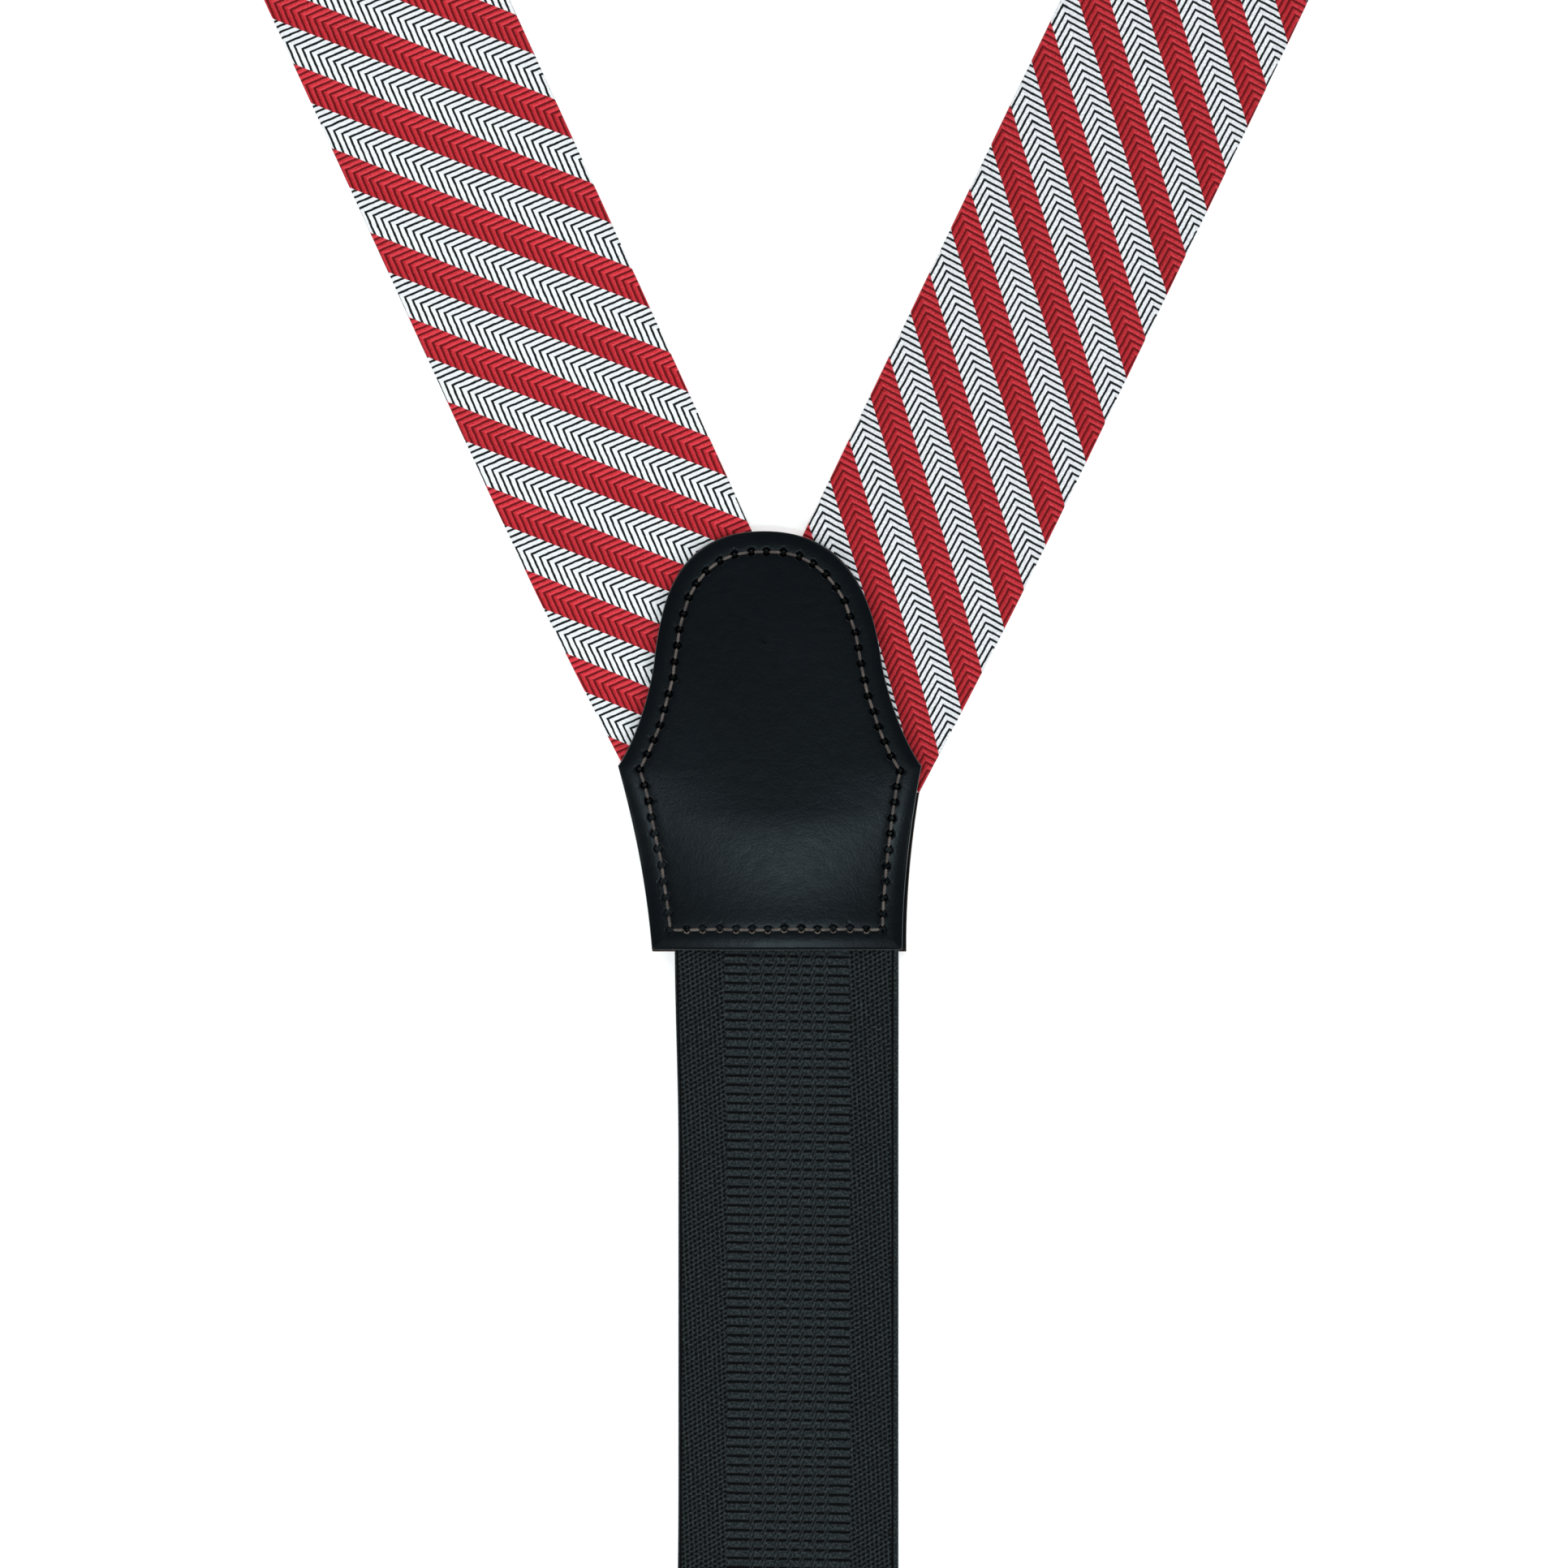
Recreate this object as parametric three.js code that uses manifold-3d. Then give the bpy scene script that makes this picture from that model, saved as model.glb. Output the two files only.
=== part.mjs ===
// Y-back dress suspenders, laid flat with their outer face up.
// Millimetres. +Y runs from the rear button tab to the two front button tabs, +Z is up.
import * as THREE from 'three';
import { mergeVertices } from 'three/addons/utils/BufferGeometryUtils.js';
import Module from 'manifold-3d';

const wasm = await Module();
wasm.setup();

// ---- driving dimensions -------------------------------------------------------------

const gap = 0.3; // air left between pieces that touch
const strapWidth = 38.1; // ribbons and elastic are both 1.5 inch goods

const liningThickness = 0.4;
const ribbonThickness = 0.8;
const elasticThickness = 1.2;
const patchLiningThickness = 1.2;
const patchOuterThickness = 1.5;
const tabLeather = 0.9;

// The back patch: a bell, measured from the middle of its bottom edge.
const patchHeight = 71.1;
const patchFootHalf = 21.65;
const patchCornerHalf = 25.75;
const patchCornerY = 31.25;
const patchWaistHalf = 19.35;
const patchWaistY = 48.5;
const patchLean = 0.037; // the bell leans left by this much for each unit of height
const patchShift = 0.25;
const patchStitchInset = 3.5;

// Both ribbons start at one point under the patch and leave it at these angles from +Y.
const forkPoint = new THREE.Vector2(-1, 16.7);
const ribbonCutY = 26.2; // where the ribbons end inside the patch
const straightRun = 170;
const bendRadius = 650;
const sides = [
  { name: 'left', sign: -1, lean: THREE.MathUtils.degToRad(24.5) },
  { name: 'right', sign: 1, lean: THREE.MathUtils.degToRad(25.7) },
];

// Places along Y
const shoulderY = 460; // the crease where a ribbon folds over the shoulder
const adjusterY = 600;
const frontRingY = 735;
const rearRingY = -150;
const elasticX = 1;

// Rings, tabs and adjusters
const ringInner = { x: 40.4, y: 8.4 };
const ringBar = 2;
const ringPitch = ringInner.y + ringBar; // from the near bar to the far bar
const ringThickness = 1.8;
const tabNeckWidth = 34;
const tabLegHalf = 8.5;
const tabLegX = 30;
const tabLegEnd = 66; // centre of a leg's round end, from the ring's far bar
const buttonholeWidth = 4.8;
const buttonholeLength = 18;
const tabStitchInset = 2.6;
const adjusterLength = 28;
const cheekThickness = 2;
const cheekX = strapWidth / 2 + 1 + cheekThickness / 2;
const pinOffset = -9.5; // from the adjuster's middle, towards the shoulder
const pinRadius = 0.8;
const leverBarrel = 1.8;
const leverLength = 23;

// Heights above the surface that the suspenders lie on
const ribbonStack = liningThickness + gap + ribbonThickness;
const onPatchLining = patchLiningThickness + gap;
const patchOuterZ = onPatchLining + ribbonStack + gap;
const foldRadius = 1.45; // inside radius of a ribbon turned round a ring
const frontRingZ = ribbonThickness + foldRadius;
const mainRunZ = frontRingZ + foldRadius; // underside of the ribbon over adjuster and ring
const rearRingZ = elasticThickness + foldRadius;
const pinZ = mainRunZ + ribbonStack + gap + leverBarrel;
const barThickness = 1.2;
const barZ = ribbonThickness + gap;

// ---- materials ----------------------------------------------------------------------

const finish = (color, roughness, metalness = 0) => ({ color, roughness, metalness });
const ribbonSilk = finish(0xb22c33, 0.5);
const liningCloth = finish(0xe6e0d6, 0.8);
const blackLeather = finish(0x16191b, 0.42);
const elasticWeb = finish(0x1e2326, 0.8);
const seamThread = finish(0x4b413c, 0.7);
const brass = finish(0xb8924a, 0.28, 1);

// ---- helpers ------------------------------------------------------------------------

const suspenders = new THREE.Group();

function add(name, geometry, look, position = [0, 0, 0]) {
  const mesh = new THREE.Mesh(geometry, new THREE.MeshStandardMaterial(look));
  mesh.name = name;
  mesh.position.set(...position);
  suspenders.add(mesh);
  return mesh;
}

function solidOf(geometry) {
  const bare = geometry.clone();
  bare.deleteAttribute('normal');
  bare.deleteAttribute('uv');
  const merged = mergeVertices(bare, 1e-4);
  return new wasm.Manifold(new wasm.Mesh({
    numProp: 3,
    vertProperties: new Float32Array(merged.attributes.position.array),
    triVerts: new Uint32Array(merged.index.array),
  }));
}

function geometryOf(solid) {
  const mesh = solid.getMesh();
  const geometry = new THREE.BufferGeometry();
  geometry.setAttribute('position', new THREE.BufferAttribute(mesh.vertProperties, 3));
  geometry.setIndex(new THREE.BufferAttribute(mesh.triVerts, 1));
  return geometry;
}

const join = (...parts) => geometryOf(parts.map(solidOf).reduce((a, b) => a.add(b)));
const cut = (body, tool) => geometryOf(solidOf(body).subtract(solidOf(tool)));
const common = (a, b) => geometryOf(solidOf(a).intersect(solidOf(b)));

function block(from, to) {
  const size = to.map((value, axis) => value - from[axis]);
  const middle = to.map((value, axis) => (value + from[axis]) / 2);
  return new THREE.BoxGeometry(...size).translate(...middle);
}

// A flat sheet with the given outline, lying at height z.
function plate(shape, z, thickness, curveSegments = 8) {
  const options = { depth: thickness, bevelEnabled: false, curveSegments };
  return new THREE.ExtrudeGeometry(shape, options).translate(0, 0, z);
}

// A side profile drawn in (y, z), as wide as given across X.
function acrossX(profile, width, curveSegments = 8) {
  const options = { depth: width, bevelEnabled: false, curveSegments };
  return new THREE.ExtrudeGeometry(profile, options)
    .translate(0, 0, -width / 2)
    .rotateY(Math.PI / 2)
    .rotateX(Math.PI / 2);
}

function roundedRectangle(width, height, radius) {
  const [x, y] = [width / 2, height / 2];
  const shape = new THREE.Shape();
  shape.moveTo(-x + radius, -y);
  shape.lineTo(x - radius, -y);
  shape.absarc(x - radius, -y + radius, radius, -Math.PI / 2, 0);
  shape.lineTo(x, y - radius);
  shape.absarc(x - radius, y - radius, radius, 0, Math.PI / 2);
  shape.lineTo(-x + radius, y);
  shape.absarc(-x + radius, y - radius, radius, Math.PI / 2, Math.PI);
  shape.lineTo(-x, -y + radius);
  shape.absarc(-x + radius, -y + radius, radius, Math.PI, 1.5 * Math.PI);
  return shape;
}

// The closed outline moved inwards by a distance, point by point.
function inset(points, distance) {
  return points.map((point, i) => {
    const before = points[(i + points.length - 1) % points.length];
    const after = points[(i + 1) % points.length];
    const into = point.clone().sub(before).normalize();
    const out = after.clone().sub(point).normalize();
    const inward = new THREE.Vector2(-into.y - out.y, into.x + out.x).normalize();
    const sharpness = Math.max(0.6, inward.dot(new THREE.Vector2(-into.y, into.x)));
    return point.clone().addScaledVector(inward, distance / sharpness);
  });
}

// A run of stitching along an outline: a thin closed band of thread.
function threadBand(points, distance, z) {
  const width = 0.7;
  const band = new THREE.Shape(inset(points, distance - width / 2));
  band.holes.push(new THREE.Path(inset(points, distance + width / 2)));
  return plate(band, z, 0.4);
}

// ---- back patch ---------------------------------------------------------------------

function patchOutline() {
  const place = (x, y) => [x - patchShift - patchLean * y, y];
  const shape = new THREE.Shape();
  shape.moveTo(...place(-patchFootHalf, 0));
  shape.lineTo(...place(patchFootHalf, 0));
  shape.quadraticCurveTo(...place(22.1, 15), ...place(patchCornerHalf, patchCornerY));
  shape.bezierCurveTo(...place(22.6, 35.7), ...place(20.15, 43.5), ...place(patchWaistHalf, patchWaistY));
  shape.bezierCurveTo(...place(18, 59.2), ...place(15, patchHeight), ...place(0, patchHeight));
  shape.bezierCurveTo(...place(-15, patchHeight), ...place(-18, 59.2), ...place(-patchWaistHalf, patchWaistY));
  shape.bezierCurveTo(...place(-20.15, 43.5), ...place(-22.6, 35.7), ...place(-patchCornerHalf, patchCornerY));
  shape.quadraticCurveTo(...place(-22.1, 15), ...place(-patchFootHalf, 0));
  return shape;
}

const patch = patchOutline();
const patchPoints = patch.getPoints(8).slice(0, -1);
add('back_patch_lining', plate(patch, 0, patchLiningThickness), blackLeather);
add('back_patch_outer', plate(patch, patchOuterZ, patchOuterThickness), blackLeather);
const patchThreadZ = patchOuterZ + patchOuterThickness + gap;
add('back_patch_thread', threadBand(patchPoints, patchStitchInset, patchThreadZ), seamThread);

// ---- ribbons ------------------------------------------------------------------------

const smooth = (value, from, to) => THREE.MathUtils.smoothstep(value, from, to);

// A ribbon's centre line on the surface: straight out of the patch, one easy bend, then along +Y.
function ribbonRoute({ sign, lean }) {
  const bendLength = bendRadius * lean;
  const bendStart = new THREE.Vector2(sign * Math.sin(lean), Math.cos(lean))
    .multiplyScalar(straightRun)
    .add(forkPoint);
  const bendEnd = new THREE.Vector2(
    bendStart.x + sign * bendRadius * (1 - Math.cos(lean)),
    bendStart.y + bendRadius * Math.sin(lean),
  );
  const frontStart = straightRun + bendLength;
  const shoulder = frontStart + shoulderY - bendEnd.y;

  function at(s) {
    const angle = lean - THREE.MathUtils.clamp(s - straightRun, 0, bendLength) / bendRadius;
    const point = new THREE.Vector2();
    if (s < straightRun) {
      point.set(sign * Math.sin(lean), Math.cos(lean)).multiplyScalar(s).add(forkPoint);
    } else if (s < frontStart) {
      point.set(
        bendEnd.x - sign * bendRadius * (1 - Math.cos(angle)),
        bendEnd.y - bendRadius * Math.sin(angle),
      );
    } else {
      point.set(bendEnd.x, bendEnd.y + s - frontStart);
    }
    const offPatch = onPatchLining * (1 - smooth(s, 56, 92));
    const overHardware = mainRunZ * smooth(s, shoulder + 12, shoulder + 62);
    return { point, turn: -sign * angle, height: offPatch + overHardware };
  }

  return { at, shoulder, x: bendEnd.x };
}

// A flat band of cloth that follows a route from one distance to another.
function band(route, from, to, above, thickness, steps) {
  const geometry = new THREE.BoxGeometry(strapWidth, to - from, thickness, 1, steps, 1);
  const position = geometry.attributes.position;
  for (let i = 0; i < position.count; i += 1) {
    const across = position.getX(i);
    const along = position.getY(i) + (from + to) / 2;
    const { point, turn, height } = route.at(along);
    const x = point.x + across * Math.cos(turn);
    const y = point.y + across * Math.sin(turn);
    position.setXYZ(i, x, y, height + above + thickness / 2 + position.getZ(i));
  }
  return geometry;
}

// The two ribbons meet on a line under the patch and are cut off square below it.
function trimInsidePatch(strap, sign) {
  const far = 80;
  const middle = forkPoint.x + sign * (gap / 2);
  const across = [middle, middle - sign * far].sort((a, b) => a - b);
  const beyond = block([across[0], -far, -1], [across[1], far, far / 4]);
  const below = block([-far, -far, -1], [far, ribbonCutY, far / 4]);
  return cut(cut(strap, beyond), below);
}

const layers = [
  { part: 'lining', above: 0, thickness: liningThickness, look: liningCloth },
  { part: 'ribbon', above: liningThickness + gap, thickness: ribbonThickness, look: ribbonSilk },
];

// ---- rings, folds and tabs ----------------------------------------------------------

function ringGeometry() {
  const outline = roundedRectangle(ringInner.x + 2 * ringBar, ringInner.y + 2 * ringBar, 3);
  outline.holes.push(roundedRectangle(ringInner.x, ringInner.y, 1.2));
  const bevel = 0.4;
  return new THREE.ExtrudeGeometry(outline, {
    depth: ringThickness - 2 * bevel,
    bevelThickness: bevel,
    bevelSize: bevel,
    bevelOffset: -bevel,
    bevelSegments: 1,
    curveSegments: 4,
  }).translate(0, 0, bevel - ringThickness / 2);
}

// A strap end turned round a bar at (0, 0): one run above, one below, both towards -Y.
function foldProfile(thickness, radius, topRun, bottomRun) {
  const outer = radius + thickness;
  const shape = new THREE.Shape();
  shape.moveTo(-topRun, radius);
  shape.lineTo(0, radius);
  shape.absarc(0, 0, radius, Math.PI / 2, -Math.PI / 2, true);
  shape.lineTo(-bottomRun, -radius);
  shape.lineTo(-bottomRun, -outer);
  shape.lineTo(0, -outer);
  shape.absarc(0, 0, outer, -Math.PI / 2, Math.PI / 2);
  shape.lineTo(-topRun, outer);
  return shape;
}

// Button tab in plan: a neck at the ring that forks into two legs, each with a buttonhole.
function tabOutline(start) {
  const [inner, outer] = [tabLegX - tabLegHalf, tabLegX + tabLegHalf];
  const neck = tabNeckWidth / 2;
  const shape = new THREE.Shape();
  shape.moveTo(-neck, start);
  shape.lineTo(neck, start);
  shape.bezierCurveTo(neck, 34, outer, 30, outer, 52);
  shape.lineTo(outer, tabLegEnd);
  shape.absarc(tabLegX, tabLegEnd, tabLegHalf, 0, Math.PI);
  shape.lineTo(inner, 54);
  shape.bezierCurveTo(inner, 44, 12, 35, 0, 35);
  shape.bezierCurveTo(-12, 35, -inner, 44, -inner, 54);
  shape.lineTo(-inner, tabLegEnd);
  shape.absarc(-tabLegX, tabLegEnd, tabLegHalf, 0, Math.PI);
  shape.lineTo(-outer, 52);
  shape.bezierCurveTo(-outer, 30, -neck, 34, -neck, start);
  return shape;
}

function buttonhole(x) {
  const radius = buttonholeWidth / 2;
  const middle = tabLegEnd - 6;
  const reach = buttonholeLength / 2 - radius;
  const slot = new THREE.Path();
  slot.moveTo(x + radius, middle - reach);
  slot.lineTo(x + radius, middle + reach);
  slot.absarc(x, middle + reach, radius, 0, Math.PI);
  slot.lineTo(x - radius, middle - reach);
  slot.absarc(x, middle - reach, radius, Math.PI, 2 * Math.PI);
  return slot;
}

function forkPlate(start, z) {
  const shape = tabOutline(start);
  shape.holes.push(buttonhole(-tabLegX), buttonhole(tabLegX));
  return plate(shape, z, tabLeather, 6);
}

// The tab's top leather goes round the ring's far bar at (0, 0) and ends as a flap underneath.
function tabWrap(ringZ) {
  const outer = ringZ;
  const inner = ringZ - tabLeather;
  const topZ = tabLeather + gap;
  const shape = new THREE.Shape();
  const flapEnd = 14;
  shape.moveTo(flapEnd, tabLeather);
  shape.lineTo(0, tabLeather);
  shape.absarc(0, ringZ, inner, -Math.PI / 2, Math.PI / 2, true);
  shape.bezierCurveTo(6, ringZ + inner, 7, topZ, 13, topZ);
  shape.lineTo(20, topZ);
  shape.lineTo(20, topZ + tabLeather);
  shape.lineTo(13, topZ + tabLeather);
  shape.bezierCurveTo(8, topZ + tabLeather, 7, ringZ + outer, 0, ringZ + outer);
  shape.absarc(0, ringZ, outer, Math.PI / 2, 1.5 * Math.PI);
  shape.lineTo(flapEnd, 0);
  return acrossX(shape, tabNeckWidth, 6);
}

// One ring and one tab. `direction` is +1 for the front tabs and -1 for the rear one.
function addRingAndTab(name, x, y, ringZ, direction) {
  const turn = direction > 0 ? 0 : Math.PI;
  const parts = [
    [`${name}_ring`, ringGeometry().translate(0, ringPitch / 2, ringZ), brass],
  ];
  const wrap = tabWrap(ringZ);
  const outer = join(wrap, forkPlate(18, tabLeather + gap));
  const points = tabOutline(18).getPoints(6).slice(0, -1);
  parts.push([`${name}_tab_outer`, outer.translate(0, ringPitch, 0), blackLeather]);
  parts.push([`${name}_tab_lining`, forkPlate(14 + gap, 0).translate(0, ringPitch, 0), blackLeather]);
  const thread = threadBand(points, tabStitchInset, 2 * (tabLeather + gap));
  parts.push([`${name}_tab_thread`, thread.translate(0, ringPitch, 0), seamThread]);
  for (const [part, geometry, look] of parts) {
    add(part, geometry.rotateZ(turn), look, [x, y, 0]);
  }
}

// ---- adjusters ----------------------------------------------------------------------

const lowBarY = 8.2; // the bar that the ribbon's end is sewn round
const lowBarHalf = 1.2;

function cheekProfile() {
  const boss = leverBarrel + 0.4;
  const [rear, front] = [-adjusterLength / 2, adjusterLength / 2 - 2];
  const shape = new THREE.Shape();
  shape.moveTo(rear, barZ);
  shape.lineTo(front, barZ);
  shape.lineTo(front, mainRunZ - gap);
  shape.bezierCurveTo(front - 6, mainRunZ - gap, pinOffset + 6, pinZ, pinOffset + boss, pinZ);
  shape.absarc(pinOffset, pinZ, boss, 0, Math.PI);
  shape.lineTo(rear, mainRunZ);
  shape.lineTo(rear, barZ);
  shape.holes.push(new THREE.Path().absarc(pinOffset, pinZ, pinRadius + gap, 0, 2 * Math.PI, true));
  return shape;
}

function frameGeometry() {
  const barEnd = cheekX - cheekThickness / 4;
  const gripBar = block([-barEnd, pinOffset - 2, barZ], [barEnd, pinOffset + 2, mainRunZ - gap]);
  const lowBar = block(
    [-barEnd, lowBarY - lowBarHalf, barZ],
    [barEnd, lowBarY + lowBarHalf, barZ + barThickness],
  );
  const cheek = () => acrossX(cheekProfile(), cheekThickness, 6);
  return join(cheek().translate(-cheekX, 0, 0), cheek().translate(cheekX, 0, 0), gripBar, lowBar);
}

function pinGeometry() {
  const length = 2 * cheekX + cheekThickness;
  return new THREE.CylinderGeometry(pinRadius, pinRadius, length, 12).rotateZ(Math.PI / 2);
}

// The lever is a cover plate on a barrel round the pin; its free end turns up for a fingertip.
function leverGeometry() {
  const width = 2 * (cheekX - cheekThickness / 2) - 1;
  const [low, high] = [0.3, 1.5];
  const side = new THREE.Shape();
  side.moveTo(Math.sqrt(leverBarrel ** 2 - low ** 2), low);
  side.bezierCurveTo(9, 0.9, 15, 0.5, leverLength - 1, -0.9);
  side.lineTo(leverLength, 0.1);
  side.bezierCurveTo(16, 1.9, 9, 2.3, 0.9, high);
  const startAngle = Math.atan2(high, 0.9);
  side.absarc(0, 0, leverBarrel, startAngle, 2 * Math.PI + Math.asin(low / leverBarrel));
  side.holes.push(new THREE.Path().absarc(0, 0, pinRadius + gap, 0, 2 * Math.PI, true));
  const corner = 4;
  const length = leverLength + leverBarrel;
  const plan = plate(roundedRectangle(width, length, corner), -5, 10)
    .translate(0, leverLength / 2 - leverBarrel / 2, 0);
  return common(acrossX(side, width, 10), plan);
}

// The ribbon's last stretch: round the low bar and back over itself, where it is sewn.
function ribbonEndProfile() {
  const middleZ = barZ + barThickness / 2;
  const inner = middleZ - ribbonThickness;
  const outer = middleZ;
  const turnY = lowBarY - lowBarHalf - gap + inner;
  const sewnLength = 24;
  const shape = new THREE.Shape();
  shape.moveTo(lowBarY + lowBarHalf, 0);
  shape.lineTo(lowBarY + lowBarHalf, ribbonThickness);
  shape.lineTo(turnY, ribbonThickness);
  shape.absarc(turnY, middleZ, inner, -Math.PI / 2, Math.PI / 2, true);
  shape.lineTo(turnY + sewnLength, middleZ + inner);
  shape.lineTo(turnY + sewnLength, middleZ + outer);
  shape.lineTo(turnY, middleZ + outer);
  shape.absarc(turnY, middleZ, outer, Math.PI / 2, 1.5 * Math.PI);
  return shape;
}

// ---- one side of the front ----------------------------------------------------------

for (const side of sides) {
  const route = ribbonRoute(side);
  const frontEnd = route.shoulder + frontRingY - shoulderY - gap;
  for (const { part, above, thickness, look } of layers) {
    const back = band(route, 0, route.shoulder - gap / 2, above, thickness, 30);
    add(`${side.name}_${part}_back`, trimInsidePatch(back, side.sign), look);
    const front = band(route, route.shoulder + gap / 2, frontEnd, above, thickness, 16);
    add(`${side.name}_${part}_front`, front, look);
  }

  const at = (y, z) => [route.x, y, z];
  const returnRun = frontRingY - adjusterY - lowBarY - lowBarHalf - gap;
  const fold = foldProfile(ribbonThickness, foldRadius, 0, returnRun);
  add(`${side.name}_ribbon_return`, acrossX(fold, strapWidth), ribbonSilk, at(frontRingY, frontRingZ));
  const end = acrossX(ribbonEndProfile(), strapWidth);
  add(`${side.name}_ribbon_end`, end, ribbonSilk, at(adjusterY, 0));

  add(`${side.name}_adjuster_frame`, frameGeometry(), brass, at(adjusterY, 0));
  add(`${side.name}_adjuster_pin`, pinGeometry(), brass, at(adjusterY + pinOffset, pinZ));
  add(`${side.name}_adjuster_lever`, leverGeometry(), brass, at(adjusterY + pinOffset, pinZ));
  addRingAndTab(side.name, route.x, frontRingY, frontRingZ, 1);
}

// ---- rear ---------------------------------------------------------------------------

const elasticTop = ribbonCutY - gap;
const elasticRunEnd = rearRingY + gap;
const elasticRoute = {
  at: (s) => {
    const y = elasticTop - s;
    const offPatch = onPatchLining * smooth(y, -30, -3);
    const overRing = (rearRingZ + foldRadius) * (1 - smooth(y, rearRingY + 5, rearRingY + 45));
    return { point: new THREE.Vector2(elasticX, y), turn: Math.PI, height: offPatch + overRing };
  },
};
const elasticLength = elasticTop - elasticRunEnd;
add('elastic_strap', band(elasticRoute, 0, elasticLength, 0, elasticThickness, 24), elasticWeb);
const elasticFold = acrossX(foldProfile(elasticThickness, foldRadius, 0, 28), strapWidth);
add('elastic_end', elasticFold.rotateZ(Math.PI), elasticWeb, [elasticX, rearRingY, rearRingZ]);
addRingAndTab('rear', elasticX, rearRingY, rearRingZ, -1);

// The origin is under the middle of the whole outline, on the surface it lies on.
const extent = new THREE.Box3().setFromObject(suspenders);
const middle = extent.getCenter(new THREE.Vector3());
suspenders.position.set(-middle.x, -middle.y, -extent.min.z);
suspenders.updateMatrixWorld(true);

export default suspenders;
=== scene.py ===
"""Y-back dress suspenders lying flat, outer face up: looks and soft pieces round the CAD frame."""
import math
import random

import bmesh
import bpy
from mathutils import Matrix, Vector
from mathutils.geometry import intersect_line_line_2d


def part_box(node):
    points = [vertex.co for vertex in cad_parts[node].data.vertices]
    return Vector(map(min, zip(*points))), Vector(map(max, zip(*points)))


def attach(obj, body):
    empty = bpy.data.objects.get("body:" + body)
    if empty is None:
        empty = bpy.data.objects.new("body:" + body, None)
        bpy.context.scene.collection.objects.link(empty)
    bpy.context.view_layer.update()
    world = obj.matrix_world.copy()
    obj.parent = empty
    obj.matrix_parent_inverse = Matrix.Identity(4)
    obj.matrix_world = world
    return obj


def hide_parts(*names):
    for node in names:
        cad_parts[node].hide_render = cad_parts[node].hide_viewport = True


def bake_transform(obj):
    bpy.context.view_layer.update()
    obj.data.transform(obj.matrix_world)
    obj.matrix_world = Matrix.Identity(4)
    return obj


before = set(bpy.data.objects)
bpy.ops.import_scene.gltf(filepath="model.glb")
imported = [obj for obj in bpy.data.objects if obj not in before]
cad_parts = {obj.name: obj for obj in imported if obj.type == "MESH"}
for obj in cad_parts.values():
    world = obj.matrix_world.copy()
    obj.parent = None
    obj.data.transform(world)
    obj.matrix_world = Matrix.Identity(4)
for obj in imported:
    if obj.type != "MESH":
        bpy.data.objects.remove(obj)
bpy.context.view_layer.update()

MM = 0.001
UP = Vector((0, 0, 1))
SIDES = ("left", "right")


# ---- places, read from the frame ----------------------------------------------------

def middle(node):
    low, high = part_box(node)
    return (Vector(low) + Vector(high)) / 2


patch_low, patch_high = (Vector(corner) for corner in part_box("back_patch_outer"))
elastic_x = middle("elastic_strap").x
FOOT = Vector((elastic_x - 1 * MM, patch_low.y, 0))  # middle of the patch's bottom edge
FORK = FOOT + Vector((-1, 16.7, 0)) * MM  # where the two ribbons' centre lines meet
STRAP_WIDTH = 38.1 * MM
STRAIGHT_RUN = 170 * MM
BEND_RADIUS = 650 * MM
LEAN = {"left": math.radians(24.5), "right": math.radians(25.7)}
SIGN = {"left": -1, "right": 1}
FRONT_X = {side: middle(f"{side}_ribbon_front").x for side in SIDES}
FOLD_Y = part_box("left_ribbon_front")[0][1]
ADJUSTER_Y = middle("left_adjuster_frame").y + 1 * MM
LOW_BAR_Y = ADJUSTER_Y + 8.2 * MM
RING_INNER = 10.4 * MM  # from a ring's near bar to its far bar
FRONT_RING_Y = middle("left_ring").y - RING_INNER / 2
FRONT_RING_Z = middle("left_ring").z
REAR_RING_Y = middle("rear_ring").y + RING_INNER / 2
REAR_RING_Z = middle("rear_ring").z
ON_LINING = 1.5 * MM  # height of straps that lie on the patch's inner leather


# ---- camera, floor and light --------------------------------------------------------

PHOTO_WIDTH = 266.7 * MM  # what the frame spans at the suspenders' face
scene = bpy.context.scene
scene.view_settings.view_transform = "Standard"
scene.view_settings.look = "None"

camera_data = bpy.data.cameras.new("camera")
camera_data.lens = 100
camera_data.sensor_width = 36
camera_data.clip_end = 20
camera = bpy.data.objects.new("camera", camera_data)
scene.collection.objects.link(camera)
aim = FOOT + Vector((0.55, 28.2, 2)) * MM  # the middle of the picture
camera.location = aim + UP * (PHOTO_WIDTH * camera_data.lens / camera_data.sensor_width)
scene.camera = camera


def area_light(name, location, target, size, power):
    data = bpy.data.lights.new(name, "AREA")
    data.size = size
    data.energy = power
    light = bpy.data.objects.new(name, data)
    light.location = location
    light.rotation_mode = "QUATERNION"
    light.rotation_quaternion = (Vector(target) - Vector(location)).to_track_quat("-Z", "Y")
    scene.collection.objects.link(light)


for index, (x, y) in enumerate(((-1.3, -1.4), (1.3, -1.4), (1.3, 1.4), (-1.3, 1.4))):
    area_light(f"soft_{index}", (x, y, 1.35), (0, 0, 0), 1.1, 17)
area_light("low_key", (FOOT.x + 0.02, FOOT.y - 0.25, 1.15), FOOT, 0.09, 3.1)
bpy.data.lights["low_key"].color = (0.72, 0.93, 1.0)

world = bpy.data.worlds.new("studio")
scene.world = world
world.use_nodes = True
world.node_tree.nodes["Background"].inputs["Color"].default_value = (1, 1, 1, 1)
world.node_tree.nodes["Background"].inputs["Strength"].default_value = 0.3


# ---- node graphs --------------------------------------------------------------------

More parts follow.
